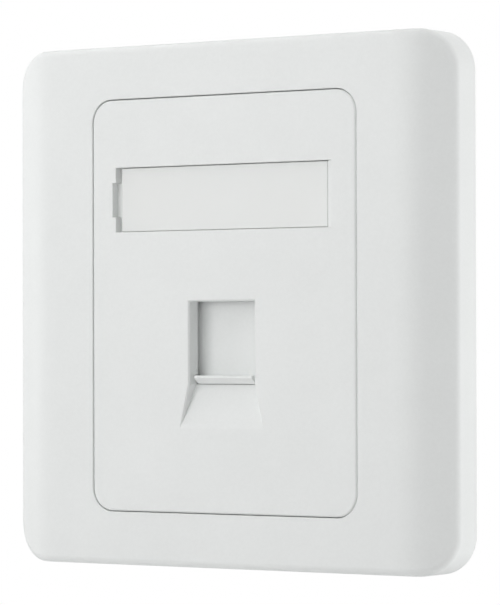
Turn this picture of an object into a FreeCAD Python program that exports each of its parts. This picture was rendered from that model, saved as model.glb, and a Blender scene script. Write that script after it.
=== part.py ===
import FreeCAD, Part
import math
import os

from FreeCAD import Vector

# Single-port data wall plate, 86 mm square, with a sliding dust shutter and a modular jack behind it.
# Millimetres. Seen from the room, +X is right and +Z is up, and +Y points into the wall.
# The origin is the middle of the plate on the wall's surface, so the room side is at negative Y.

# Plate and bezel
plate_size = 86.0
plate_depth = 8.2
corner_radius = 6.5
side_height = 5.5
bevel_width = 6.3
bevel_blend = 16.0
front_edge_radius = 1.2
bezel_wall = 2.0
collar_wall = 1.2
collar_height = 1.0
bezel_rib_width = 1.0
bezel_rib_height = 2.0
bezel_rib_pitch = 14.0
bezel_side_ribs = 4
bezel_end_ribs = 2
pry_notch_width = 8.0
pry_notch_height = 1.5

# Clips between the bezel and the panel frame
clip_offset = 18.0
clip_width = 7.0
clip_thickness = 1.2
clip_barb = 0.5
clip_barb_height = 1.2
clip_set_back = 0.3
clip_clearance = 0.2

# Inner panel and its flange
panel_side_border = 17.16
panel_end_border = 8.95
panel_radius = 3.75
panel_gap = 0.12
panel_edge_radius = 0.4
opening_edge = 0.1
panel_skin = 2.0
panel_wall = 1.8
flange_thickness = 2.0
flange_gap = 0.3
flange_rim_width = 1.2
flange_rim_height = 1.0

# Fixing slots for M4 screws at the standard spacing of the wall box
screw_spacing = 60.3
screw_slot_radius = 2.2
screw_slot_length = 6.0

# Label recess, its cover and the card behind it
label_side_border = 4.71
label_height = 10.7
label_centre_z = 17.45
label_sink = 0.9
label_shelf = 1.05
label_pry_gap = 0.6
label_floor = 0.85
label_pocket_wall = 1.4
label_clearance = 0.1
label_edge_radius = 0.1
cover_edge = 0.08
cover_thickness = 1.1
cover_tab_length = 0.7
cover_tab_thickness = 0.4
cover_tab_height = 6.0
cover_tab_room = 0.35
card_thickness = 0.2
card_gap = 0.05
card_short = 0.6
notch_width = 0.68
notch_height = 5.7
notch_depth = 1.5

# Port window and finger scoop
port_width = 12.8
port_height = 13.55
port_top_z = 0.5
port_wall = 2.5
port_frame_width = 3.0
port_edge = 0.25
scoop_height = 7.2
scoop_depth = 2.1
scoop_flare = 1.65
scoop_lead = 0.75
scoop_lead_depth = 0.12

# Shutter and its track
shutter_thickness = 1.2
shutter_overlap = 1.5
shutter_bottom_overlap = 0.8
shutter_room = 0.5
shutter_groove_depth = 0.5
slide_clearance = 0.3
runner_width = 0.65
runner_clearance = 0.2
runner_length = 12.5
lip_width = 11.3
lip_height = 1.35
lip_sink = 0.4
lip_slope = 1.2
lip_nose = 0.4
lip_gap = 0.1
lip_radius = 0.06
travel_margin = 0.3
rail_width = 1.2
stop_height = 1.2
stop_gap = 0.05

# Shutter spring, drawn at its closed length
spring_wire = 0.25
spring_diameter = 1.7
spring_length = 18.5
spring_turns = 8
spring_wire_sides = 4
spring_pin_radius = 0.4
spring_pin_length = 1.6
spring_offset = 0.1
spring_end_gap = 0.02
spring_post_width = 3.0
spring_post_height = 2.0

# Jack holder and its two screws
holder_thickness = 2.0
holder_radius = 1.5
holder_margin = 0.3
tube_wall = 1.4
tube_gap = 1.1
dock_clearance = 0.15
latch_room = 2.9
boss_radius = 2.4
boss_z = -6.0
holder_screw_radius = 1.0
holder_screw_length = 5.0
holder_screw_head_radius = 2.0
holder_screw_head_height = 1.3
holder_screw_head_room = 0.65
holder_screw_clearance = 0.1
holder_screw_recess = 0.6
holder_screw_recess_width = 0.5
holder_screw_recess_length = 2.2

# Modular jack body
jack_width = 14.5
jack_height = 16.0
jack_depth = 14.0
jack_set_back = 0.1
jack_roof = 1.0
jack_front_wall = 1.5
socket_width = 11.9
socket_height = 7.0
socket_depth = 12.5
key_width = 6.4
key_height = 1.5
inner_key_width = 4.0
inner_key_height = 1.4
lug_width = 7.0
lug_length = 2.5
lug_height = 1.2
lug_from_face = 5.0
arm_width = 8.0
arm_thickness = 0.9
arm_length = 13.0
arm_root = 1.8
arm_clearance = 0.15
barb_length = 2.4
barb_height = 1.6
barb_from_face = 6.4

# Contact wires and their carrier
contact_count = 8
contact_pitch = 1.02
contact_size = 0.4
contact_clearance = 0.06
contact_sink = 1.0
contact_bend_radius = 0.5
contact_drop = 2.4
contact_reach = 7.0
carrier_clearance = 0.1
carrier_width = 9.6
carrier_height = 1.95

# Circuit board and terminal block
board_thickness = 1.0
board_margin = 0.25
skirt_wall = 1.0
skirt_overlap = 2.0
block_base = 3.0
tower_height = 8.0
tower_width = 4.2
tower_inset = 2.05
terminal_rows = 4
terminal_pitch = 3.7
terminal_width = 2.6
terminal_thickness = 0.4
terminal_height = 7.0
terminal_slit = 0.45
terminal_slit_depth = 4.4
terminal_mouth = 1.3
terminal_tail = 0.6
terminal_clearance = 0.06
wire_slot_width = 1.0
wire_slot_depth = 5.5
tower_split = 0.8

# Depths behind the front face, from the values above
cover_back_depth = label_sink + cover_thickness
card_front_depth = cover_back_depth + card_gap
pocket_depth = card_front_depth + card_thickness
pocket_back_depth = pocket_depth + label_floor
shutter_front_depth = pocket_back_depth + shutter_room
shutter_back_depth = shutter_front_depth + shutter_thickness
holder_front_depth = shutter_back_depth + slide_clearance
jack_face_y = holder_front_depth + jack_set_back - plate_depth
jack_back_y = jack_face_y + jack_depth
board_back_y = jack_back_y + board_thickness
block_floor_y = board_back_y + block_base

# Widths and heights, from the values above
plate_half = plate_size / 2
panel_width = plate_size - 2 * panel_side_border
panel_height = plate_size - 2 * panel_end_border
label_width = panel_width - 2 * label_side_border
label_left = -label_width / 2
label_shelf_x = label_width / 2 - label_shelf
frame_size = plate_size - 2 * (bezel_wall + flange_gap)
frame_radius = corner_radius - bezel_wall - flange_gap
opening_width = panel_width + 2 * panel_gap
opening_height = panel_height + 2 * panel_gap
opening_radius = panel_radius + panel_gap
port_half = port_width / 2
port_bottom_z = port_top_z - port_height
shutter_half = port_half + shutter_overlap
shutter_top_z = port_top_z + shutter_overlap
shutter_bottom_z = port_bottom_z - shutter_bottom_overlap
lip_bottom_z = port_bottom_z + lip_gap
lip_top_z = lip_bottom_z + lip_height
shutter_travel = port_top_z - lip_top_z - travel_margin
rail_inner = shutter_half + slide_clearance
rail_outer = rail_inner + rail_width
tube_half = jack_width / 2 + dock_clearance + tube_wall
boss_x = tube_half + holder_screw_head_room + holder_screw_head_radius
clip_z = (frame_size + panel_height) / 4
socket_centre_z = (port_bottom_z + shutter_bottom_z + shutter_travel) / 2
socket_top_z = socket_centre_z + (socket_height + key_height + inner_key_height) / 2
carrier_top_z = socket_top_z + carrier_height
jack_top_z = carrier_top_z + carrier_clearance + jack_roof
jack_bottom_z = jack_top_z - jack_height
jack_middle_z = (jack_top_z + jack_bottom_z) / 2
arm_rise = dock_clearance + skirt_wall + arm_clearance + arm_thickness
tower_offset = jack_width / 2 - tower_inset
spring_y = (shutter_front_depth + shutter_back_depth) / 2 - spring_offset - plate_depth
spring_top_z = shutter_top_z + spring_length
past = 1.0
near = 1e-3


def at_depth(depth):
    """Y of a point that lies this far behind the front face."""
    return depth - plate_depth


def box(x, y, z):
    """Block between a pair of values on each axis."""
    low = Vector(min(x), min(y), min(z))
    return Part.makeBox(max(x) - low.x, max(y) - low.y, max(z) - low.z, low)


def wide_box(width, y, z):
    """Block centred on X."""
    return box((-width / 2, width / 2), y, z)


def prism(points, sweep):
    """Closed polygon swept along a vector."""
    return Part.Face(Part.makePolygon(points + points[:1])).extrude(sweep)


def rod(radius, start, sweep):
    """Round bar from a point along a vector."""
    return Part.makeCylinder(radius, sweep.Length, start, sweep)


def along_y(radius, x, z, y):
    """Round bar along Y between a pair of values."""
    return rod(radius, Vector(x, min(y), z), Vector(0, max(y) - min(y), 0))


def runs_along(edge, axis):
    """Whether an edge is straight and parallel to an axis."""
    if not isinstance(edge.Curve, Part.Line):
        return False
    return edge.Curve.Direction.cross(axis).Length < near


def rounded_block(width, height, radius, y, centre_z=0.0):
    """Block with its four corners rounded as seen from the room."""
    block = wide_box(width, y, (centre_z - height / 2, centre_z + height / 2))
    corners = [edge for edge in block.Edges if runs_along(edge, Vector(0, 1, 0))]
    return block.makeFillet(radius, corners)


def edges_at(shape, y):
    """Edges that lie wholly in the plane at this Y."""
    boxes = [(edge, edge.BoundBox) for edge in shape.Edges]
    return [edge for edge, b in boxes if abs(b.YMin - y) < near and abs(b.YMax - y) < near]


def front_edges(shape, width, low_z, high_z):
    """Edges in the front face, within a width of the middle and between two heights."""
    boxes = [(edge, edge.BoundBox) for edge in edges_at(shape, -plate_depth)]
    across = [(edge, b) for edge, b in boxes if max(-b.XMin, b.XMax) < width / 2]
    return [edge for edge, b in across if b.ZMin > low_z and b.ZMax < high_z]


def joined(shapes):
    """One solid from pieces that touch or overlap."""
    return shapes[0].multiFuse(shapes[1:]).removeSplitter()


def both_sides(make):
    """The same piece made on the left and on the right."""
    return [make(side) for side in (-1, 1)]


def on_rim(point, half, radius):
    """Whether a point lies on the wall of a rounded square of this half width."""
    straight = half - radius
    over_x = abs(point.x) - straight
    over_z = abs(point.z) - straight
    if over_x > 0 and over_z > 0:
        return abs(math.hypot(over_x, over_z) - radius) < near
    return abs(max(abs(point.x), abs(point.z)) - half) < near


def bezel_form(inset, back_y):
    """Bezel's outer form with every face moved in by an inset, and its back at a given Y."""
    half = plate_half - inset
    front = plate_depth - inset
    slope = math.atan2(plate_depth - side_height, bevel_width)
    crease = plate_half - bevel_width - inset * math.tan(slope / 2)
    shoulder = front - (half - crease) * math.tan(slope)
    right = [(half, back_y), (half, -shoulder), (crease, -front)]
    left = [(-x, y) for x, y in reversed(right)]
    points = [Vector(x, y, -half) for x, y in right + left]
    form = prism(points, Vector(0, 0, 2 * half))
    upright = [edge for edge in form.Edges if runs_along(edge, Vector(0, 0, 1))]
    creases = [edge for edge in upright if abs(edge.BoundBox.YMin + front) < near]
    form = form.makeFillet(bevel_blend - inset, creases)
    return form.common(rounded_block(2 * half, 2 * half, corner_radius - inset, (-plate_depth, back_y)))


def soft_bezel_form():
    """Outer form with its front edge rounded all the way round."""
    form = bezel_form(0.0, 0.0)
    rim = []
    for edge in form.Edges:
        middle = edge.valueAt((edge.FirstParameter + edge.LastParameter) / 2)
        is_front = edge.BoundBox.YMax < -past and not runs_along(edge, Vector(0, 1, 0))
        if is_front and on_rim(middle, plate_half, corner_radius):
            rim.append(edge)
    return form.makeFillet(front_edge_radius, rim)


def rib_places(count):
    """Evenly spaced places about the middle."""
    return [(index - (count - 1) / 2) * bezel_rib_pitch for index in range(count)]


def bezel_ribs(form):
    """Stiffening ribs between the collar and the outer wall, on all four sides."""
    y = (at_depth(bezel_wall / 2), at_depth(bezel_wall + bezel_rib_height))
    half = bezel_rib_width / 2
    ribs = []
    for place in rib_places(bezel_side_ribs):
        band = (place - half, place + half)
        ribs += both_sides(lambda side: box((side * opening_width / 2, side * plate_half), y, band))
    for place in rib_places(bezel_end_ribs):
        band = (place - half, place + half)
        ribs += both_sides(lambda side: box(band, y, (side * opening_height / 2, side * plate_half)))
    return [rib.common(form) for rib in ribs]


def bezel_clip(x, side):
    """Clip arm on the bezel's inside, with its barb towards the plate's edge."""
    inner = side * (clip_z - clip_thickness / 2)
    outer = side * (clip_z + clip_thickness / 2)
    tip = outer + side * clip_barb
    band = (x - clip_width / 2, x + clip_width / 2)
    arm = box(band, (at_depth(bezel_wall / 2), -clip_set_back), (inner, outer))
    profile = [
        Vector(band[0], -clip_set_back, outer),
        Vector(band[0], -clip_set_back - clip_barb_height / 2, tip),
        Vector(band[0], -clip_set_back - clip_barb_height, outer),
    ]
    return arm.fuse(prism(profile, Vector(clip_width, 0, 0)))


def make_bezel():
    form = soft_bezel_form()
    shell = form.cut(bezel_form(bezel_wall, past))
    collar_back = at_depth(bezel_wall + collar_height)
    collar = rounded_block(
        opening_width + 2 * collar_wall,
        opening_height + 2 * collar_wall,
        opening_radius + collar_wall,
        (at_depth(bezel_wall / 2), collar_back),
    )
    clips = [bezel_clip(x, side) for x in (-clip_offset, clip_offset) for side in (-1, 1)]
    body = joined([shell, collar] + bezel_ribs(form) + clips)
    opening_y = (-plate_depth - past, collar_back + past)
    opening = rounded_block(opening_width, opening_height, opening_radius, opening_y)
    notch_z = (-plate_half - past, -plate_half + bezel_wall + past)
    notch = wide_box(pry_notch_width, (-pry_notch_height, past), notch_z)
    body = body.cut([opening, notch])
    rim = front_edges(body, opening_width + past, -plate_half, plate_half)
    return body.makeChamfer(opening_edge, rim)


def flange():
    """Flat flange with a raised rim, which the bezel covers."""
    plate = rounded_block(frame_size, frame_size, frame_radius, (-flange_thickness, 0))
    rim_y = (-flange_thickness - flange_rim_height, -flange_thickness / 2)
    rim = rounded_block(frame_size, frame_size, frame_radius, rim_y)
    inside = frame_size - 2 * flange_rim_width
    hollow = rounded_block(inside, inside, frame_radius - flange_rim_width, rim_y)
    return plate.fuse(rim.cut(hollow))


def panel_shell():
    """Raised panel, open at the back, with its front edge softened."""
    block = rounded_block(panel_width, panel_height, panel_radius, (-plate_depth, 0))
    return block.makeFillet(panel_edge_radius, edges_at(block, -plate_depth))


def panel_hollow():
    """Space behind the panel's skin."""
    return rounded_block(
        panel_width - 2 * panel_wall,
        panel_height - 2 * panel_wall,
        panel_radius - panel_wall,
        (at_depth(panel_skin), past),
    )


def label_band(margin):
    """Height range of the label pocket, grown by a margin."""
    half = label_height / 2 + margin
    return (label_centre_z - half, label_centre_z + half)


def label_pad():
    """Thickening behind the panel that holds the label pocket."""
    width = label_width + 2 * label_pocket_wall
    y = (at_depth(panel_skin / 2), at_depth(pocket_back_depth))
    return wide_box(width, y, label_band(label_pocket_wall))


def cover_ends():
    """Ends of the cover along X, short of the recess at the pry end."""
    return (label_left + label_pry_gap, label_shelf_x - label_clearance)


def label_cuts():
    """Label recess, the pocket in it, the pry gap with its notch and the undercut for the cover's tab."""
    front = at_depth(-past)
    recess = wide_box(label_width, (front, at_depth(label_sink)), label_band(0))
    pocket_x = (cover_ends()[0] - label_clearance, label_shelf_x)
    pocket = box(pocket_x, (front, at_depth(pocket_depth)), label_band(0))
    notch_y = (front, at_depth(notch_depth))
    notch_band = (label_centre_z - notch_height / 2, label_centre_z + notch_height / 2)
    notch = box((label_left - notch_width, label_left + past), notch_y, notch_band)
    pry_gap = box((label_left, label_left + label_pry_gap), notch_y, label_band(0))
    tab_front = cover_back_depth - cover_tab_thickness - label_clearance
    tab_half = cover_tab_height / 2 + 2 * label_clearance
    undercut = box(
        (label_shelf_x - past, label_shelf_x + cover_tab_length),
        (at_depth(tab_front), at_depth(cover_back_depth + cover_tab_room)),
        (label_centre_z - tab_half, label_centre_z + tab_half),
    )
    return [recess, pocket, notch, pry_gap, undercut]


def port_outline(grow):
    """Outline of the window and the scoop together, grown at its top and sides, before the front."""
    half = port_half + grow
    foot_z = port_bottom_z - scoop_height
    right = [(half, port_top_z + grow), (half, port_bottom_z), (half + scoop_flare, foot_z)]
    left = [(-x, z) for x, z in reversed(right)]
    return [Vector(x, at_depth(-past), z) for x, z in right + left]


def scoop_ramp():
    """Space in front of the scoop's floor, which eases out towards its foot."""
    foot_z = port_bottom_z - scoop_height
    floor = [
        (-past, port_bottom_z),
        (scoop_depth, port_bottom_z),
        (scoop_lead_depth, foot_z + scoop_lead),
        (0, foot_z),
        (-past, foot_z),
    ]
    points = [Vector(-plate_half, at_depth(depth), z) for depth, z in floor]
    return prism(points, Vector(plate_size, 0, 0))


def port_cuts():
    """Window, the scoop that lets a fingertip in under the shutter's lip, and their bevelled edge."""
    front = at_depth(-past)
    window = wide_box(port_width, (front, at_depth(port_wall + past)), (port_bottom_z, port_top_z))
    ramp = scoop_ramp()
    scoop = prism(port_outline(0), Vector(0, scoop_depth + past, 0)).common(ramp)
    rim = prism(port_outline(port_edge), Vector(0, port_edge + past, 0))
    back_edges = edges_at(rim, at_depth(port_edge))
    foot_left_out = [edge for edge in back_edges if edge.BoundBox.ZMax > port_bottom_z - near]
    rim = rim.makeChamfer(port_edge, foot_left_out)
    above = wide_box(plate_size, (front, at_depth(port_wall)), (port_bottom_z, plate_half))
    return [window, scoop, rim.common(ramp.fuse(above))]


def track():
    """Port's thick surround with the rails, stop and spring post of the shutter, behind the panel."""
    frame_half = port_half + port_frame_width
    skin = at_depth(panel_skin / 2)
    back = at_depth(holder_front_depth)
    surround_z = (port_bottom_z - port_frame_width, port_top_z + port_frame_width)
    surround = wide_box(2 * frame_half, (skin, at_depth(port_wall)), surround_z)
    foot_z = shutter_bottom_z - stop_gap - stop_height
    head_z = shutter_top_z + shutter_travel + stop_height
    rail_z = (foot_z, head_z)
    rails = both_sides(lambda side: box((side * rail_inner, side * rail_outer), (skin, back), rail_z))
    stop = wide_box(2 * rail_outer, (skin, back), (foot_z, foot_z + stop_height))
    post_z = (spring_top_z + spring_end_gap, spring_top_z + spring_post_height)
    post = wide_box(spring_post_width, (skin, at_depth(shutter_back_depth)), post_z)
    pin_sweep = Vector(0, 0, -spring_post_height - spring_pin_length)
    pin = rod(spring_pin_radius, Vector(0, spring_y, post_z[1]), pin_sweep)
    bosses = both_sides(lambda side: along_y(boss_radius, side * boss_x, boss_z, (skin, back)))
    return [surround, stop, post, pin] + rails + bosses


def screw_slot(side):
    """Slotted hole for a fixing screw, long across the plate."""
    centre = side * screw_spacing / 2
    shift = screw_slot_length / 2 - screw_slot_radius
    y = (-flange_thickness - past, past)
    ends = [along_y(screw_slot_radius, centre + x, 0, y) for x in (-shift, shift)]
    middle = box((centre - shift, centre + shift), y, (-screw_slot_radius, screw_slot_radius))
    return joined(ends + [middle])


def clip_slot(x, side):
    """Hole in the flange that a clip arm and its barb pass through."""
    half = clip_width / 2 + clip_clearance
    inner = side * (clip_z - clip_thickness / 2 - clip_clearance)
    outer = side * (clip_z + clip_thickness / 2 + clip_barb + clip_clearance)
    return box((x - half, x + half), (-flange_thickness - past, past), (inner, outer))


def make_panel_frame():
    outside = flange().fuse(panel_shell())
    body = joined([outside.cut(panel_hollow()), label_pad()] + track())
    cuts = label_cuts() + port_cuts() + both_sides(screw_slot)
    cuts += [clip_slot(x, side) for x in (-clip_offset, clip_offset) for side in (-1, 1)]
    pilot_radius = holder_screw_radius + holder_screw_clearance
    pilot_depth = holder_screw_length - holder_thickness + holder_screw_clearance
    back = at_depth(holder_front_depth)
    pilot_y = (back - pilot_depth, back + past)
    cuts += both_sides(lambda side: along_y(pilot_radius, side * boss_x, boss_z, pilot_y))
    body = body.cut(cuts).removeSplitter()
    low_z, high_z = label_band(near)
    return body.makeFillet(label_edge_radius, front_edges(body, panel_width, low_z, high_z))


def make_shutter():
    """Door with runners on its sides, a wedge lip at its foot and a pin for the spring."""
    front = at_depth(shutter_front_depth)
    back = at_depth(shutter_back_depth)
    door = wide_box(2 * shutter_half, (front, back), (shutter_bottom_z, shutter_top_z))
    runner_y = (at_depth(port_wall + runner_clearance), back)
    runner_z = (shutter_bottom_z, shutter_bottom_z + runner_length)
    runner_x = shutter_half - runner_width
    runners = both_sides(lambda side: box((side * runner_x, side * shutter_half), runner_y, runner_z))
    groove_y = (front - past, front + shutter_groove_depth)
    groove_z = (shutter_bottom_z - past, shutter_top_z + past)
    grooves = both_sides(lambda side: box((side * port_half, side * runner_x), groove_y, groove_z))
    left = -lip_width / 2
    wedge = [
        Vector(left, at_depth(lip_sink), lip_top_z),
        Vector(left, at_depth(lip_sink), lip_top_z - lip_nose),
        Vector(left, at_depth(lip_sink + lip_slope), lip_bottom_z),
        Vector(left, back, lip_bottom_z),
        Vector(left, back, lip_top_z),
    ]
    lip = prism(wedge, Vector(lip_width, 0, 0))
    lip = lip.makeFillet(lip_radius, edges_at(lip, at_depth(lip_sink)))
    pin_foot = Vector(0, spring_y, shutter_top_z - past)
    pin = rod(spring_pin_radius, pin_foot, Vector(0, 0, past + spring_pin_length))
    return joined([door.cut(grooves), lip, pin] + runners)


def make_spring():
    """Coil spring between the shutter and its post."""
    radius = (spring_diameter - spring_wire) / 2
    low = shutter_top_z + spring_end_gap + spring_wire / 2
    height = spring_length - 2 * spring_end_gap - spring_wire
    path = Part.makeHelix(height / spring_turns, height, radius)
    half = spring_wire / 2
    turns = [2 * math.pi * side / spring_wire_sides for side in range(spring_wire_sides)]
    corners = [Vector(radius + half * math.cos(a), 0, half * math.sin(a)) for a in turns]
    section = Part.makePolygon(corners + corners[:1])
    coil = Part.Wire(path.Edges).makePipeShell([section], True, True)
    coil.translate(Vector(0, spring_y, low))
    return coil


def make_label_cover():
    """Window with a tab at its right end that hooks under the shelf of the recess."""
    ends = cover_ends()
    back = at_depth(cover_back_depth)
    plate = box(ends, (at_depth(label_sink), back), label_band(-label_clearance))
    plate = plate.makeChamfer(cover_edge, edges_at(plate, at_depth(label_sink)))
    tab_band = (label_centre_z - cover_tab_height / 2, label_centre_z + cover_tab_height / 2)
    tab_front = at_depth(cover_back_depth - cover_tab_thickness)
    tab = box((ends[1] - past, ends[1] + cover_tab_length), (tab_front, back), tab_band)
    return joined([plate, tab])


def make_label_card():
    left, right = cover_ends()
    y = (at_depth(card_front_depth), at_depth(pocket_depth))
    return box((left, right - card_short), y, label_band(-label_clearance))


def make_jack_holder():
    """Plate that traps the shutter, with a tube behind it that the jack clips into."""
    front = at_depth(holder_front_depth)
    back = front + holder_thickness
    tube_back = jack_back_y - skirt_overlap - tube_gap
    width = 2 * (boss_x + boss_radius + holder_margin)
    top_z = shutter_top_z + shutter_travel + stop_height
    hole_half = jack_width / 2 + dock_clearance
    hole_bottom = jack_bottom_z - dock_clearance
    hole_top = jack_top_z + dock_clearance
    latch_top = jack_top_z + latch_room
    bottom_z = hole_bottom - tube_wall - holder_margin
    plate = rounded_block(width, top_z - bottom_z, holder_radius, (front, back), (top_z + bottom_z) / 2)
    tube_z = (hole_bottom - tube_wall, latch_top + tube_wall)
    tube = wide_box(2 * tube_half, (back - holder_thickness / 2, tube_back), tube_z)
    body = joined([plate, tube])
    lug_front = jack_face_y + lug_from_face
    lug_y = (lug_front - dock_clearance, lug_front + lug_length + dock_clearance)
    barb_front = jack_face_y + barb_from_face
    barb_y = (barb_front - dock_clearance, barb_front + barb_length + dock_clearance)
    cuts = [
        wide_box(2 * hole_half, (front - past, tube_back + past), (hole_bottom, hole_top)),
        wide_box(2 * hole_half, (back, tube_back + past), (hole_top - past, latch_top)),
        wide_box(lug_width + 2 * dock_clearance, lug_y, (tube_z[0] - past, hole_bottom + past)),
        wide_box(arm_width + 2 * dock_clearance, barb_y, (latch_top - past, tube_z[1] + past)),
    ]
    hole_radius = holder_screw_radius + holder_screw_clearance
    hole_y = (front - past, back + past)
    cuts += both_sides(lambda side: along_y(hole_radius, side * boss_x, boss_z, hole_y))
    return body.cut(cuts).removeSplitter()


def holder_screw(side):
    """Small cross-recess screw through the holder into its boss."""
    x = side * boss_x
    seat = at_depth(holder_front_depth) + holder_thickness
    top = seat + holder_screw_head_height
    shank = along_y(holder_screw_radius, x, boss_z, (seat - holder_screw_length, seat))
    head = along_y(holder_screw_head_radius, x, boss_z, (seat, top))
    long = holder_screw_recess_length / 2
    thin = holder_screw_recess_width / 2
    recess_y = (top - holder_screw_recess, top + past)
    arms = ((long, thin), (thin, long))
    cross = [box((x - a, x + a), recess_y, (boss_z - b, boss_z + b)) for a, b in arms]
    return joined([shank, head]).cut(cross)


def make_holder_screws():
    return Part.makeCompound(both_sides(holder_screw))


def latch_arm():
    """Sprung arm on top of the jack, with the barb that holds it in the holder."""
    half = arm_width / 2
    root_y = jack_face_y + jack_front_wall + holder_thickness
    end_y = root_y + arm_length
    low_z = jack_top_z + arm_rise - arm_thickness
    barb_front = jack_face_y + barb_from_face
    profile = [
        Vector(-half, root_y, jack_top_z - jack_roof / 2),
        Vector(-half, root_y, jack_top_z + arm_thickness),
        Vector(-half, barb_front, jack_top_z + arm_rise),
        Vector(-half, end_y, jack_top_z + arm_rise),
        Vector(-half, end_y, low_z),
        Vector(-half, barb_front, low_z),
        Vector(-half, root_y + arm_root, jack_top_z),
        Vector(-half, root_y + arm_root, jack_top_z - jack_roof / 2),
    ]
    arm = prism(profile, Vector(arm_width, 0, 0))
    barb = [
        Vector(-half, barb_front, jack_top_z + arm_rise),
        Vector(-half, barb_front + barb_length, jack_top_z + arm_rise),
        Vector(-half, barb_front + barb_length, jack_top_z + arm_rise + barb_height),
        Vector(-half, barb_front + barb_length / 2, jack_top_z + arm_rise + barb_height),
    ]
    return arm.fuse(prism(barb, Vector(arm_width, 0, 0)))


def make_jack_housing():
    """Jack body with its keyed socket, the bay for the contact carrier, the lug and the latch arm."""
    body = wide_box(jack_width, (jack_face_y, jack_back_y), (jack_bottom_z, jack_top_z))
    lug_y = (jack_face_y + lug_from_face, jack_face_y + lug_from_face + lug_length)
    lug = wide_box(lug_width, lug_y, (jack_bottom_z - lug_height, jack_bottom_z + past))
    key_z = socket_top_z - socket_height
    mouth = (jack_face_y - past, jack_face_y + socket_depth)
    bay_width = carrier_width + 2 * carrier_clearance
    bay_y = (jack_face_y + jack_front_wall, jack_back_y + past)
    cuts = [
        wide_box(socket_width, mouth, (key_z, socket_top_z)),
        wide_box(key_width, mouth, (key_z - key_height, key_z + past)),
        wide_box(inner_key_width, mouth, (key_z - key_height - inner_key_height, key_z)),
        wide_box(bay_width, bay_y, (socket_top_z - past, jack_top_z - jack_roof)),
    ]
    return joined([body, lug, latch_arm()]).cut(cuts).removeSplitter()


def contact_x(index):
    """Place of a contact across the socket."""
    return (index - (contact_count - 1) / 2) * contact_pitch


def contact_top_z():
    return socket_top_z + contact_sink


def make_contact(index):
    """Spring wire from the board, forward over the socket and back down into it."""
    x = contact_x(index)
    top = contact_top_z()
    bend = contact_bend_radius
    front = jack_face_y + jack_front_wall + carrier_clearance + contact_size + bend
    fall = math.atan2(contact_drop, contact_reach)
    under = Vector(x, front - bend * math.sin(fall), top - bend - bend * math.cos(fall))
    crown = Vector(x, front - bend * math.cos(fall / 2), top - bend + bend * math.sin(fall / 2))
    tip = under + Vector(0, contact_reach, -contact_drop)
    start = Vector(x, board_back_y, top)
    shoulder = Vector(x, front, top)
    path = Part.Wire([
        Part.makeLine(start, shoulder),
        Part.Arc(shoulder, crown, under).toShape(),
        Part.makeLine(under, tip),
    ])
    half = contact_size / 2
    square = [(-half, -half), (half, -half), (half, half), (-half, half)]
    corners = [start + Vector(a, 0, b) for a, b in square]
    return path.makePipeShell([Part.makePolygon(corners + corners[:1])], True, False)


def make_contact_carrier():
    """Comb in the roof of the socket, with a groove for each wire."""
    y = (jack_face_y + jack_front_wall + carrier_clearance, jack_back_y)
    carrier = wide_box(carrier_width, y, (socket_top_z, carrier_top_z))
    half = contact_size / 2 + contact_clearance
    roof = contact_top_z() + half
    groove_y = (y[0] - past, y[1] + past)
    groove_z = (socket_top_z - past, roof)
    places = [contact_x(index) for index in range(contact_count)]
    return carrier.cut([box((x - half, x + half), groove_y, groove_z) for x in places])


def terminal_places():
    """Column and height of each terminal, right column first."""
    steps = [row - (terminal_rows - 1) / 2 for row in range(terminal_rows)]
    heights = [jack_middle_z + step * terminal_pitch for step in steps]
    return [(side * tower_offset, z) for side in (1, -1) for z in heights]


def make_jack_board():
    """Circuit board with holes for the wires and the terminals' tails."""
    y = (jack_back_y, board_back_y)
    board_z = (jack_bottom_z + board_margin, jack_top_z - board_margin)
    board = wide_box(jack_width - 2 * board_margin, y, board_z)
    half = contact_size / 2 + contact_clearance
    top = contact_top_z()
    through = (y[0] - past, y[1] + past)
    places = [contact_x(index) for index in range(contact_count)]
    holes = [box((x - half, x + half), through, (top - half, top + half)) for x in places]
    slot = terminal_thickness / 2 + terminal_clearance
    tail = terminal_tail / 2 + terminal_clearance
    holes += [box((x - slot, x + slot), through, (z - tail, z + tail)) for x, z in terminal_places()]
    return board.cut(holes)


def make_idc_block():
    """Rear block with two rows of slotted towers, and a skirt that closes round the board."""
    half_width = jack_width / 2 + dock_clearance + skirt_wall
    low = jack_bottom_z - dock_clearance - skirt_wall
    high = jack_top_z + dock_clearance + skirt_wall
    skirt_y = jack_back_y - skirt_overlap
    base = wide_box(2 * half_width, (skirt_y, block_floor_y), (low, high))
    bay_y = (skirt_y - past, board_back_y)
    bay_z = (jack_bottom_z - dock_clearance, jack_top_z + dock_clearance)
    bay = wide_box(jack_width + 2 * dock_clearance, bay_y, bay_z)
    arm_bay = wide_box(arm_width + 2 * dock_clearance, bay_y, (jack_top_z, high + past))
    top_y = block_floor_y + tower_height
    tower_y = (block_floor_y - past, top_y)
    tower_x = (tower_offset - tower_width / 2, tower_offset + tower_width / 2)
    towers = both_sides(lambda side: box((side * tower_x[0], side * tower_x[1]), tower_y, (low, high)))
    body = joined([base.cut([bay, arm_bay])] + towers)
    slot = terminal_thickness / 2 + terminal_clearance
    reach = terminal_width / 2 + terminal_clearance
    wire_half = wire_slot_width / 2
    open_y = (top_y - wire_slot_depth, top_y + past)
    cuts = []
    for x, z in terminal_places():
        cuts.append(box((x - slot, x + slot), (board_back_y - past, top_y + past), (z - reach, z + reach)))
        cuts.append(box((x - tower_width, x + tower_width), open_y, (z - wire_half, z + wire_half)))
    for gap in range(1, terminal_rows):
        z = (gap - terminal_rows / 2) * terminal_pitch + jack_middle_z
        split_z = (z - tower_split / 2, z + tower_split / 2)
        cuts.append(wide_box(2 * (tower_offset + tower_width), open_y, split_z))
    return body.cut(cuts).removeSplitter()


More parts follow.
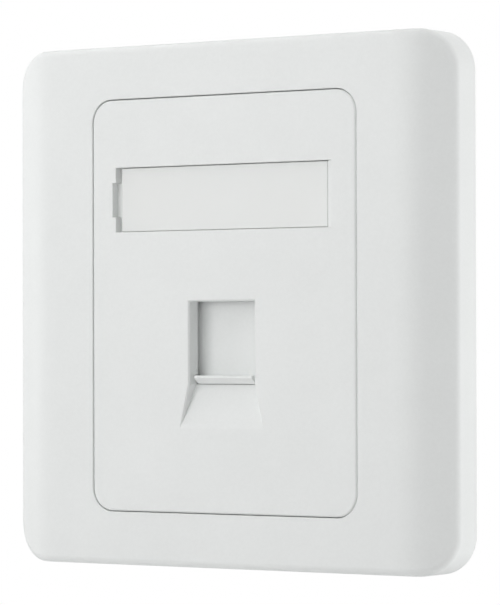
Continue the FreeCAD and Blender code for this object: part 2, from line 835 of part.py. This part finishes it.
def make_terminal(x, z):
    """Forked blade that grips a wire, with a tail into the board."""
    left = x - terminal_thickness / 2
    half = terminal_width / 2
    tail = terminal_tail / 2
    slit = terminal_slit / 2
    mouth = terminal_mouth / 2
    foot_y = board_back_y + terminal_clearance
    top_y = block_floor_y + terminal_height
    slit_y = top_y - terminal_slit_depth
    lead_y = top_y - (mouth - slit)
    right_side = [(tail, jack_back_y), (tail, foot_y), (half, foot_y), (half, top_y), (mouth, top_y),
                  (slit, lead_y), (slit, slit_y)]
    left_side = [(-a, y) for a, y in reversed(right_side)]
    points = [Vector(left, y, z + a) for a, y in right_side + left_side]
    return prism(points, Vector(terminal_thickness, 0, 0))


def all_parts():
    """Every piece, by its name."""
    parts = {
        "bezel": make_bezel(),
        "panel_frame": make_panel_frame(),
        "shutter": make_shutter(),
        "shutter_spring": make_spring(),
        "label_cover": make_label_cover(),
        "label_card": make_label_card(),
        "jack_holder": make_jack_holder(),
        "holder_screws": make_holder_screws(),
        "jack_housing": make_jack_housing(),
        "contact_carrier": make_contact_carrier(),
        "jack_board": make_jack_board(),
        "idc_block": make_idc_block(),
    }
    for index in range(contact_count):
        parts["contact_%d" % (index + 1)] = make_contact(index)
    for number, place in enumerate(terminal_places(), 1):
        parts["idc_terminal_%d" % number] = make_terminal(*place)
    return parts


os.makedirs("parts", exist_ok=True)
for name, shape in all_parts().items():
    shape.exportStep("parts/%s.step" % name)
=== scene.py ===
import math

import bpy
from mathutils import Matrix, Vector


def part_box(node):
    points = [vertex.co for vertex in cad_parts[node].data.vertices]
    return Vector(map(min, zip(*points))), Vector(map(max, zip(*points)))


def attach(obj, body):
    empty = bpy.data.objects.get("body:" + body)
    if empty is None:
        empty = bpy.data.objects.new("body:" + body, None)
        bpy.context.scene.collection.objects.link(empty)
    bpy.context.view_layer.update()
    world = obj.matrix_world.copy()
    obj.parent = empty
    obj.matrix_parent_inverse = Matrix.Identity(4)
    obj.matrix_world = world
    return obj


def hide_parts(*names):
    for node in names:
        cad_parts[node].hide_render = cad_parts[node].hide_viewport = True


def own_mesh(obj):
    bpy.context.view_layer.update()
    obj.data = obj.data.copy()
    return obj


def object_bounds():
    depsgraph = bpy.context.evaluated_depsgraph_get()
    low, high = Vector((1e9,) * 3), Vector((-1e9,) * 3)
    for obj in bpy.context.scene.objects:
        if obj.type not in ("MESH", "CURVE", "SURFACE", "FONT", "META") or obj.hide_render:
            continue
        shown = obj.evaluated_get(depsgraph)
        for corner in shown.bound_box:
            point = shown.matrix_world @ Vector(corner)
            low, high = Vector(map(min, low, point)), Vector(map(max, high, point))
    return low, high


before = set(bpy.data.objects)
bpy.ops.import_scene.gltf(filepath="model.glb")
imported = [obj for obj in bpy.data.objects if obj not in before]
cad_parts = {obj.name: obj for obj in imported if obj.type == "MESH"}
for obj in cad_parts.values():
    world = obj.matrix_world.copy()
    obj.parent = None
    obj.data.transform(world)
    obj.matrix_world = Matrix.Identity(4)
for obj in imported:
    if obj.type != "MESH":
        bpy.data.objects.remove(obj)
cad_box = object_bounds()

# Single-port data wall plate. Metres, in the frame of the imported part:
# +X right and +Z up as seen from the room, +Y into the wall, origin on the wall's surface.

# Camera, fitted to the edges of the plate in the photograph
image_height = 605
sensor_size = 36.0
focal_pixels = 3404.5
view_azimuth = math.radians(33.89)
view_elevation = math.radians(-0.71)
view_roll = math.radians(-0.15)
view_distance = 0.5596
view_target = Vector((0.00013, 0.0, 0.00035))
nearest_seen = 0.01

# World and floor, with levels of their own where they are seen
pure_white = (1.0, 1.0, 1.0, 1.0)
world_seen_strength = 1.0
ambient_strength = 0.15
floor_drop = 0.075
floor_radius = 0.7
floor_sides = 64
floor_roughness = 0.8
floor_reflectance = 0.90
floor_seen_reflectance = 0.30
floor_seen_glow = 0.45

# Distance from the plate and side of a softbox
near_box = (0.4, 0.2)
far_box = (0.8, 0.35)
softboxes = (
    # Name, degrees round from the front towards the left, degrees up, box, watts, shown in reflections
    ("key", 25, 5, near_box, 0.29, True),
    ("high_key", 25, 30, near_box, 0.15, True),
    ("left_fill", 75, 5, far_box, 0.80, True),
    ("high_left", 75, 55, near_box, 0.21, True),
    ("high_front", 0, 55, near_box, 0.26, True),
    ("overhead", 0, 88, near_box, 0.26, True),
    ("right_fill", -30, 5, far_box, 0.75, True),
    ("right_rim", -115, 5, far_box, 3.60, False),
    ("back", 155, 35, far_box, 1.2, False),
)

# Shutter spring, as round wire with closed ends
upward = Vector((0.0, 0.0, 1.0))
spring_axis = Vector((0.0, -0.0041, 0.0))
spring_moving_end = 0.00202
spring_fixed_end = 0.02048
spring_radius = 0.000725
spring_wire_radius = 0.000125
spring_end_turns = 1.5
spring_open_turns = 7.0
spring_turns = 2 * spring_end_turns + spring_open_turns
spring_steps_per_turn = 28
spring_wire_sides = 12

# Radians that a wave texture runs through over one unit of its scaled place
wave_rate = 20


def linear(value):
    """Linear light of a display level from 0 to 255, by the sRGB curve."""
    share = value / 255
    return share / 12.92 if share <= 0.04045 else ((share + 0.055) / 1.055) ** 2.4


def display_color(red, green, blue):
    """Colour for a socket from display levels."""
    return (linear(red), linear(green), linear(blue), 1.0)


class Surface:
    """A material being built: its node tree, its shader and short ways to add nodes."""

    def __init__(self, name):
        self.material = bpy.data.materials.new(name)
        self.material.use_nodes = True
        self.nodes = self.material.node_tree.nodes
        self.links = self.material.node_tree.links
        self.shader = self.nodes["Principled BSDF"]
        self.coordinates = self.nodes.new("ShaderNodeTexCoord").outputs["Object"]

    def add(self, kind, inputs=None, **settings):
        """Node with its settings, and its inputs linked to sockets or set to values."""
        node = self.nodes.new(kind)
        for key, value in settings.items():
            setattr(node, key, value)
        for key, value in (inputs or {}).items():
            if isinstance(value, bpy.types.NodeSocket):
                self.links.new(value, node.inputs[key])
            else:
                node.inputs[key].default_value = value
        return node

    def set(self, **values):
        """Constants straight on the shader's sockets, with _ for a space in a socket's name."""
        for key, value in values.items():
            self.shader.inputs[key.replace("_", " ")].default_value = value

    def drive(self, socket, output):
        """Link to one of the shader's sockets."""
        self.links.new(output, self.shader.inputs[socket])

    def scaled(self, x, y, z):
        """Object coordinates scaled along the axes: below 1 draws a pattern out."""
        inputs = {"Vector": self.coordinates, "Scale": (x, y, z)}
        return self.add("ShaderNodeMapping", inputs).outputs["Vector"]

    def noise(self, size, detail=2.0, place=None):
        """Noise whose features are about this size in metres, 0 to 1."""
        inputs = {"Vector": place or self.coordinates, "Scale": 1 / size, "Detail": detail}
        return self.add("ShaderNodeTexNoise", inputs).outputs["Fac"]

    def bands(self, pitch, axis):
        """Soft parallel bands at a pitch in metres across an axis, 0 to 1."""
        inputs = {"Vector": self.coordinates, "Scale": 2 * math.pi / (wave_rate * pitch)}
        return self.add("ShaderNodeTexWave", inputs, bands_direction=axis).outputs["Fac"]

    def calculate(self, operation, first, second=0.0):
        """Result of a maths node."""
        node = self.add("ShaderNodeMath", {0: first, 1: second}, operation=operation)
        return node.outputs["Value"]

    def average(self, first, second):
        """Value halfway between two."""
        return self.calculate("MULTIPLY", self.calculate("ADD", first, second), 0.5)

    def ramp(self, value, low, high):
        """Value from 0 to 1 spread between two numbers."""
        inputs = {"Value": value, "To Min": low, "To Max": high}
        return self.add("ShaderNodeMapRange", inputs).outputs["Result"]

    def mix(self, share, first, second):
        """Colour between two, by a share from 0 to 1."""
        node = self.add("ShaderNodeMix", data_type="RGBA")
        socket = {s.identifier: s for s in node.inputs}
        self.links.new(share, socket["Factor_Float"])
        socket["A_Color"].default_value = first
        socket["B_Color"].default_value = second
        return {s.identifier: s for s in node.outputs}["Result_Color"]

    def bump(self, height, depth, edge_radius=0.0):
        """Relief of this depth in metres, over edges softened by a radius."""
        inputs = {"Height": height, "Strength": 1.0, "Distance": depth}
        if edge_radius:
            soft = self.add("ShaderNodeBevel", {"Radius": edge_radius}, samples=4)
            inputs["Normal"] = soft.outputs["Normal"]
        self.drive("Normal", self.add("ShaderNodeBump", inputs).outputs["Normal"])


def moulded_plastic(name, color, shade, roughness, grain, depth, edge_radius):
    """Satin moulding: faint flow mottling, a fine speckle, a spark-eroded grain and uneven gloss."""
    flow_size, speckle_size, gloss_size = 0.012, 0.0005, 0.004
    gloss_spread = 0.05
    surface = Surface(name)
    mottle = surface.average(surface.noise(flow_size, detail=3.0), surface.noise(speckle_size))
    surface.drive("Base Color", surface.mix(mottle, color, shade))
    gloss = surface.noise(gloss_size)
    surface.drive("Roughness", surface.ramp(gloss, roughness - gloss_spread, roughness + gloss_spread))
    surface.bump(surface.noise(grain, detail=3.0), depth, edge_radius)
    return surface.material


def milky_window():
    """Translucent cover: milky, faintly warm in patches, with fine wipe marks along it."""
    patch_size, mark_size, mark_scale = 0.016, 0.0006, 0.15
    cool, warm = display_color(239, 241, 240), display_color(239, 240, 238)
    surface = Surface("window_plastic")
    surface.drive("Base Color", surface.mix(surface.noise(patch_size, detail=4.0), cool, warm))
    surface.set(Alpha=0.97, IOR=1.49)
    marks = surface.noise(mark_size, detail=4.0, place=surface.scaled(mark_scale, 1.0, 1.0))
    surface.drive("Roughness", surface.ramp(marks, low=0.3, high=0.38))
    surface.bump(marks, depth=0.000002, edge_radius=0.0001)
    return surface.material


def paper(name, color, shade):
    """Plain card with a fine fibre."""
    fibre_size, fibre_scale = 0.0004, 2.5
    surface = Surface(name)
    fibre = surface.noise(fibre_size, detail=5.0, place=surface.scaled(1.0, 1.0, fibre_scale))
    surface.drive("Base Color", surface.mix(fibre, color, shade))
    surface.set(Roughness=0.85)
    surface.bump(fibre, depth=0.000004)
    return surface.material


def metal(name, color, dull, roughness, streak_scale):
    """Plated or drawn metal, unevenly bright, with streaks along Y where their scale is below 1."""
    streak_size, patch_size = 0.0002, 0.0015
    gloss_spread = 0.08
    surface = Surface(name)
    streaks = surface.noise(streak_size, detail=3.0, place=surface.scaled(1.0, streak_scale, 1.0))
    surface.drive("Base Color", surface.mix(surface.noise(patch_size, detail=3.0), color, dull))
    surface.set(Metallic=1.0)
    surface.drive("Roughness", surface.ramp(streaks, roughness - gloss_spread, roughness + gloss_spread))
    surface.bump(streaks, depth=0.000003, edge_radius=0.00004)
    return surface.material


def distance_from_screw(surface):
    """Distance in metres from the axis of the nearer holder screw, both being along Y."""
    low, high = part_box("holder_screws")
    head_radius = (high[2] - low[2]) / 2
    place = surface.add("ShaderNodeSeparateXYZ", {0: surface.coordinates}).outputs
    off_middle = surface.calculate("ABSOLUTE", place["X"])
    across = surface.calculate("SUBTRACT", off_middle, high[0] - head_radius)
    above = surface.calculate("SUBTRACT", place["Z"], low[2] + head_radius)
    squares = [surface.calculate("POWER", side, 2.0) for side in (across, above)]
    return surface.calculate("SQRT", surface.calculate("ADD", *squares))


def turned_zinc():
    """Zinc plate on screws, with the rings left by turning their heads."""
    ring_pitch, patch_size = 0.00012, 0.0008
    bright, dull = display_color(206, 209, 214), display_color(178, 181, 184)
    surface = Surface("zinc_plate")
    turn = surface.calculate("MULTIPLY", distance_from_screw(surface), 2 * math.pi / ring_pitch)
    patches = surface.noise(patch_size, detail=4.0)
    surface.drive("Base Color", surface.mix(patches, bright, dull))
    surface.set(Metallic=1.0)
    surface.drive("Roughness", surface.ramp(patches, low=0.26, high=0.42))
    surface.bump(surface.calculate("SINE", turn), depth=0.0000015, edge_radius=0.00006)
    return surface.material


def laminate():
    """Circuit board: green mask over the weave of the glass cloth."""
    weave_pitch, gloss_size = 0.0004, 0.002
    deep, light = display_color(24, 84, 52), display_color(34, 104, 64)
    surface = Surface("board_laminate")
    weave = surface.calculate("MULTIPLY", surface.bands(weave_pitch, "X"), surface.bands(weave_pitch, "Z"))
    surface.drive("Base Color", surface.mix(weave, deep, light))
    surface.drive("Roughness", surface.ramp(surface.noise(gloss_size), low=0.28, high=0.4))
    surface.bump(weave, depth=0.000006, edge_radius=0.00005)
    return surface.material


white_plastic = moulded_plastic(
    "white_plastic", display_color(242, 244, 243), display_color(232, 234, 233),
    roughness=0.42, grain=0.00025, depth=0.000006, edge_radius=0.00012,
)
jack_plastic = moulded_plastic(
    "jack_plastic", display_color(58, 59, 61), display_color(50, 51, 53),
    roughness=0.45, grain=0.0002, depth=0.000001, edge_radius=0.0001,
)
comb_plastic = moulded_plastic(
    "comb_plastic", display_color(214, 211, 202), display_color(206, 203, 193),
    roughness=0.4, grain=0.0002, depth=0.000001, edge_radius=0.00006,
)
white_card = paper("white_card", display_color(248, 249, 249), display_color(245, 246, 246))
window_plastic = milky_window()
gold_plate = metal(
    "gold_plate", display_color(236, 196, 108), display_color(224, 180, 92),
    roughness=0.24, streak_scale=0.08,
)
tin_plate = metal(
    "tin_plate", display_color(200, 202, 204), display_color(184, 186, 189),
    roughness=0.34, streak_scale=0.1,
)
spring_steel = metal(
    "spring_steel", display_color(176, 178, 182), display_color(150, 152, 156),
    roughness=0.3, streak_scale=1.0,
)
zinc_plate = turned_zinc()
board_laminate = laminate()


def place_camera():
    """Camera at the photograph's viewpoint."""
    sin_a, cos_a = math.sin(view_azimuth), math.cos(view_azimuth)
    sin_e, cos_e = math.sin(view_elevation), math.cos(view_elevation)
    back = Vector((sin_a * cos_e, -cos_a * cos_e, sin_e))
    right = Vector((cos_a, sin_a, 0.0))
    up = back.cross(right)
    turned_right = math.cos(view_roll) * right + math.sin(view_roll) * up
    turned_up = math.cos(view_roll) * up - math.sin(view_roll) * right
    data = bpy.data.cameras.new("camera")
    data.sensor_width = sensor_size
    data.lens = focal_pixels * sensor_size / image_height
    data.clip_start = nearest_seen
    camera = bpy.data.objects.new("camera", data)
    bpy.context.scene.collection.objects.link(camera)
    rotation = Matrix((turned_right, turned_up, back)).transposed()
    camera.matrix_world = Matrix.Translation(view_target + view_distance * back) @ rotation.to_4x4()
    bpy.context.scene.camera = camera


def add_softbox(name, around, above, box, power, reflected):
    """Soft square lamp aimed at the middle of the plate."""
    distance, side = box
    turn, lift = math.radians(around), math.radians(above)
    level = math.cos(lift)
    place = distance * Vector((-math.sin(turn) * level, -math.cos(turn) * level, math.sin(lift)))
    data = bpy.data.lights.new(name, "AREA")
    data.shape = "SQUARE"
    data.size = side
    data.energy = power
    lamp = bpy.data.objects.new(name, data)
    bpy.context.scene.collection.objects.link(lamp)
    lamp.location = place
    lamp.rotation_euler = (-place).to_track_quat("-Z", "Y").to_euler()
    lamp.visible_camera = False
    lamp.visible_glossy = reflected


def seen_or_not(tree, seen_level, unseen_level):
    """One level where seen directly, in a reflection or through glass, and another for the light given."""
    path = tree.nodes.new("ShaderNodeLightPath")
    seen = path.outputs["Is Camera Ray"]
    for kind in ("Is Transmission Ray", "Is Glossy Ray"):
        either = tree.nodes.new("ShaderNodeMath")
        either.operation = "MAXIMUM"
        tree.links.new(seen, either.inputs[0])
        tree.links.new(path.outputs[kind], either.inputs[1])
        seen = either.outputs["Value"]
    level = tree.nodes.new("ShaderNodeMapRange")
    level.inputs["To Min"].default_value = unseen_level
    level.inputs["To Max"].default_value = seen_level
    tree.links.new(seen, level.inputs["Value"])
    return level.outputs["Result"]


def light_world():
    """White studio: seen as plain white, and lighting the plate evenly at a lower level."""
    world = bpy.data.worlds.new("studio")
    bpy.context.scene.world = world
    world.use_nodes = True
    tree = world.node_tree
    background = tree.nodes["Background"]
    background.inputs["Color"].default_value = pure_white
    strength = seen_or_not(tree, world_seen_strength, ambient_strength)
    tree.links.new(strength, background.inputs["Strength"])


def new_mesh(name, points, faces):
    """Mesh object in the scene."""
    mesh = bpy.data.meshes.new(name)
    mesh.from_pydata(points, [], faces)
    made = bpy.data.objects.new(name, mesh)
    bpy.context.scene.collection.objects.link(made)
    return made


def add_floor():
    """Plain floor below the plate, which is seen as an even pale tone and still shows shadows."""
    ring = [2 * math.pi * side / floor_sides for side in range(floor_sides)]
    level = cad_box[0][2] - floor_drop
    points = [(floor_radius * math.cos(a), floor_radius * math.sin(a), level) for a in ring]
    floor = new_mesh("floor", points, [tuple(range(floor_sides))])
    surface = Surface("floor")
    tree = surface.material.node_tree
    surface.set(Roughness=floor_roughness, Emission_Color=pure_white)
    surface.drive("Base Color", seen_or_not(tree, floor_seen_reflectance, floor_reflectance))
    surface.drive("Emission Strength", seen_or_not(tree, floor_seen_glow, 0.0))
    floor.data.materials.append(surface.material)


def coil_height(turn):
    """Height of the spring's wire after this many turns: close at the ends and open between."""
    close = 2 * spring_wire_radius
    low, high = spring_moving_end + spring_wire_radius, spring_fixed_end - spring_wire_radius
    rise = high - low - 2 * spring_end_turns * close
    open_turn = min(max(turn - spring_end_turns, 0.0), spring_open_turns)
    return low + close * (turn - open_turn) + rise * open_turn / spring_open_turns


def wire_ring(turn):
    """Points round the spring's wire after this many turns."""
    angle = 2 * math.pi * turn
    outward = Vector((math.cos(angle), math.sin(angle), 0.0))
    centre = spring_axis + spring_radius * outward + coil_height(turn) * upward
    tilts = [2 * math.pi * side / spring_wire_sides for side in range(spring_wire_sides)]
    return [centre + spring_wire_radius * (math.cos(t) * outward + math.sin(t) * upward) for t in tilts]


def wire_faces(steps):
    """Faces between the wire's rings, after a cap at each end."""
    sides = range(spring_wire_sides)
    last = steps * spring_wire_sides
    faces = [tuple(sides), tuple(last + side for side in reversed(sides))]
    for low in range(0, last, spring_wire_sides):
        high = low + spring_wire_sides
        for side in sides:
            after = (side + 1) % spring_wire_sides
            faces.append((low + side, high + side, high + after, low + after))
    return faces


def add_spring():
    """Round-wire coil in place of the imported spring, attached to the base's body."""
    steps = int(spring_turns * spring_steps_per_turn)
    points = []
    for step in range(steps + 1):
        points += wire_ring(spring_turns * step / steps)
    coil = new_mesh("spring_coil", points, wire_faces(steps))
    coil.data.polygons.foreach_set("use_smooth", [len(p.vertices) == 4 for p in coil.data.polygons])
    coil.data.materials.append(spring_steel)
    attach(coil, "base")
    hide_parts("shutter_spring")
    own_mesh(coil)


def finish_of(node):
    """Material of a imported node, by its name."""
    if node.startswith("contact_") and node != "contact_carrier":
        return gold_plate
    if node.startswith("idc_terminal_"):
        return tin_plate
    return {
        "contact_carrier": comb_plastic,
        "holder_screws": zinc_plate,
        "idc_block": jack_plastic,
        "jack_board": board_laminate,
        "jack_housing": jack_plastic,
        "label_card": white_card,
        "label_cover": window_plastic,
        "shutter_spring": spring_steel,
    }.get(node, white_plastic)


def dress_nodes():
    """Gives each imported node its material."""
    for name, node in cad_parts.items():
        node.data.materials.clear()
        node.data.materials.append(finish_of(name))


bpy.context.scene.view_settings.view_transform = "Standard"
place_camera()
light_world()
for softbox in softboxes:
    add_softbox(*softbox)
add_floor()
dress_nodes()
add_spring()
